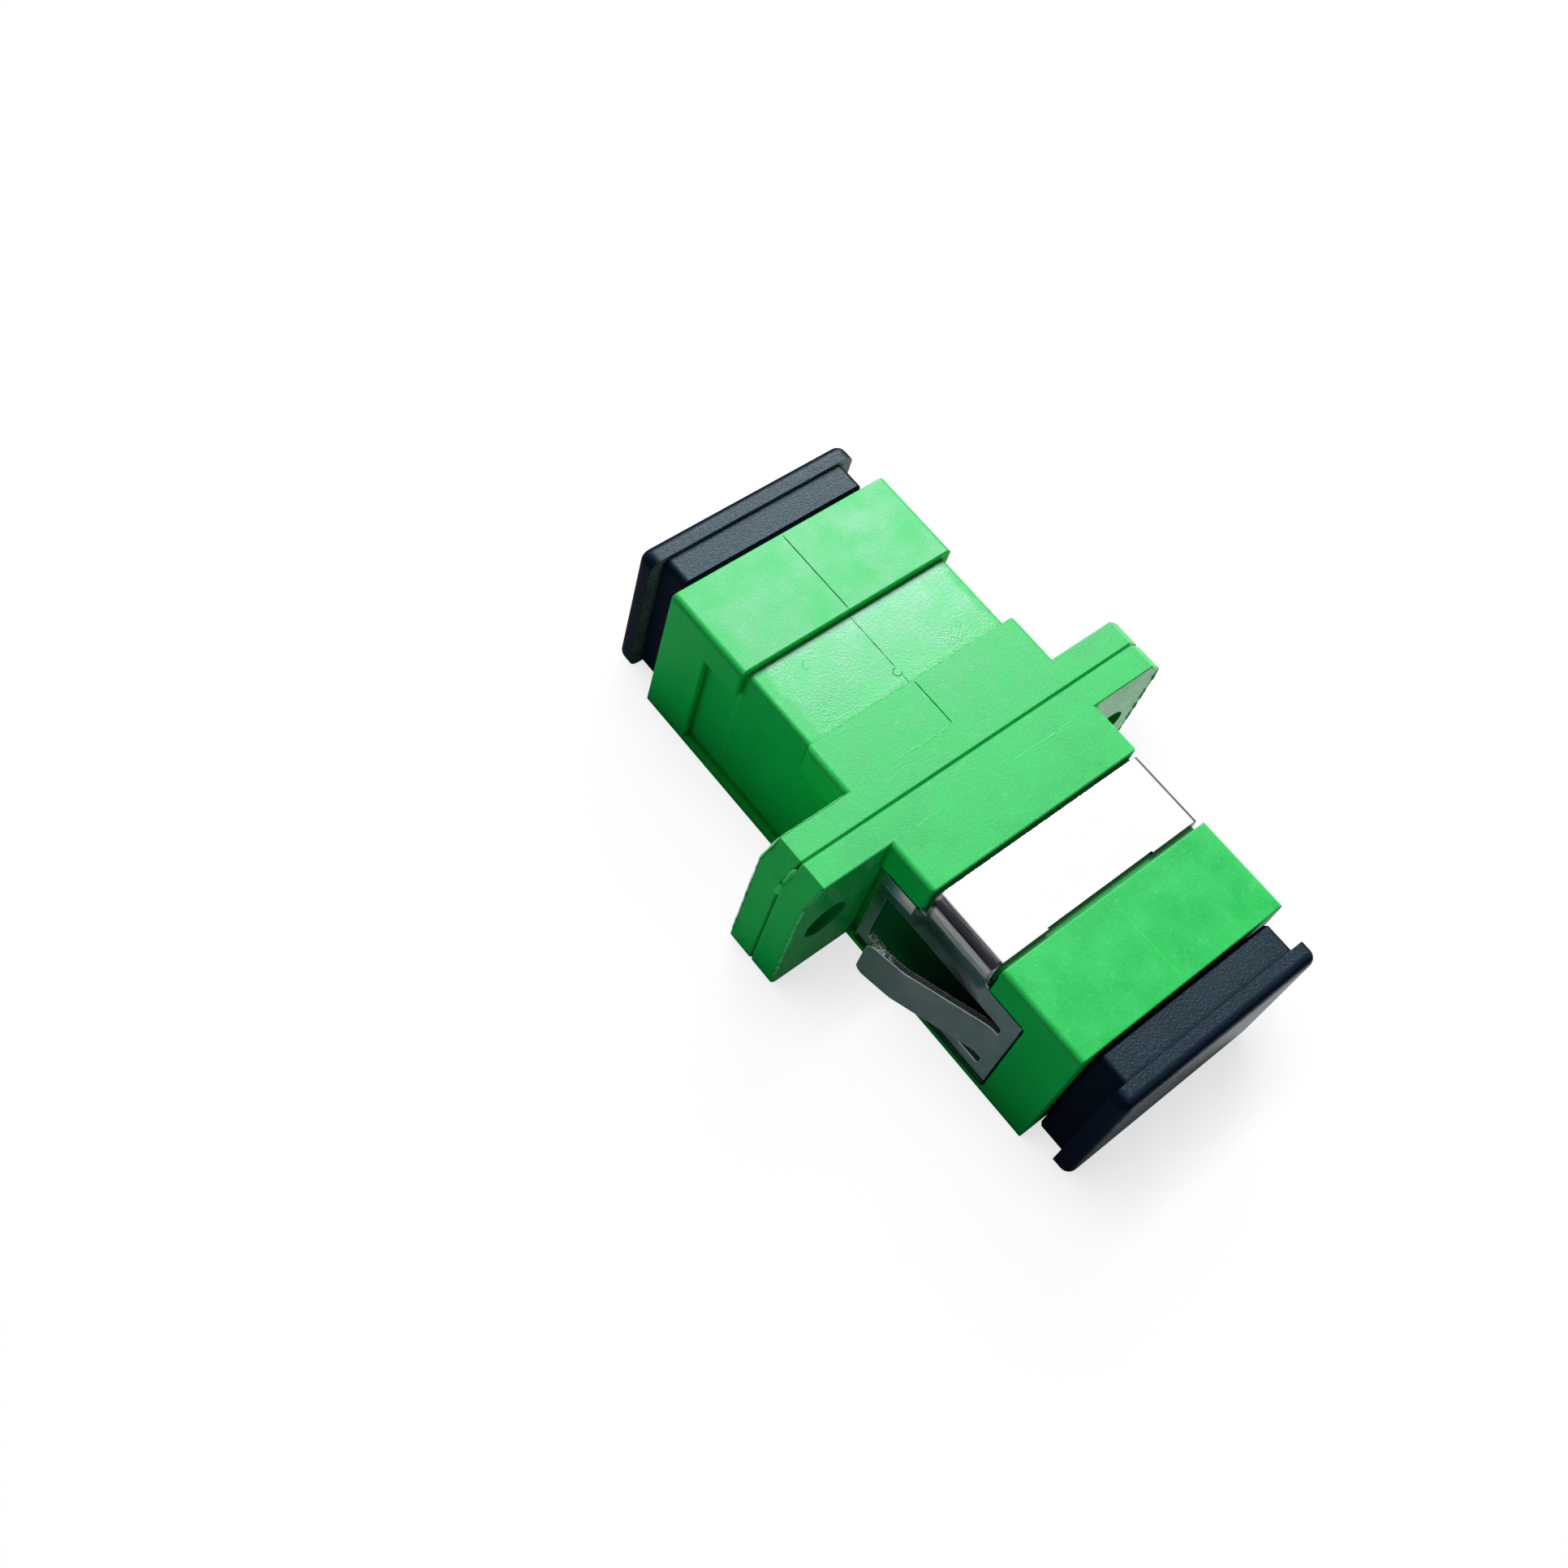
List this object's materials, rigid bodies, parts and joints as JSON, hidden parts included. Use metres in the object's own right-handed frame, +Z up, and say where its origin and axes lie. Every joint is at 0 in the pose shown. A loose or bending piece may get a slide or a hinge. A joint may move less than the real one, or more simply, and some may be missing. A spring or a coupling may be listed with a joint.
{
  "type": "fibre adapter",
  "caption": "Flanged push-pull fibre adapter: green two-part housing, folded steel panel clip, latch inserts, split sleeve and black pull-off dust caps.",
  "frame": {"origin": "bottom centre, under the joint plane of the two housing halves, on the key face", "axes": "+X across the flange, +Y along the optical axis away from the clip, +Z up from the key face to the clip face"},
  "size_m": [0.0224, 0.0331, 0.0089],
  "materials": {
    "housing_green": "moulded, satin with a fine texture",
    "insert_green": "moulded, satin",
    "cap_black": "moulded, matte and finely grained",
    "clip_steel": "bright rolled stainless sheet",
    "sleeve_ceramic": "white polished ceramic"
  },
  "bodies": {
    "adapter": {"housing_front": "housing_green", "housing_rear": "housing_green", "latch_insert_front": "insert_green", "latch_insert_rear": "insert_green", "split_sleeve": "sleeve_ceramic", "mounting_clip": "clip_steel"},
    "dust_cap_front": {"dust_cap_front": "cap_black"},
    "dust_cap_rear": {"dust_cap_rear": "cap_black"}
  },
  "joints": [
    {"name": "dust_cap_front_pull", "type": "slide", "parent": "adapter", "child": "dust_cap_front", "axis": [0, -1, 0], "range_m": [0, 0.02]},
    {"name": "dust_cap_rear_pull", "type": "slide", "parent": "adapter", "child": "dust_cap_rear", "axis": [0, 1, 0], "range_m": [0, 0.02]}
  ]
}
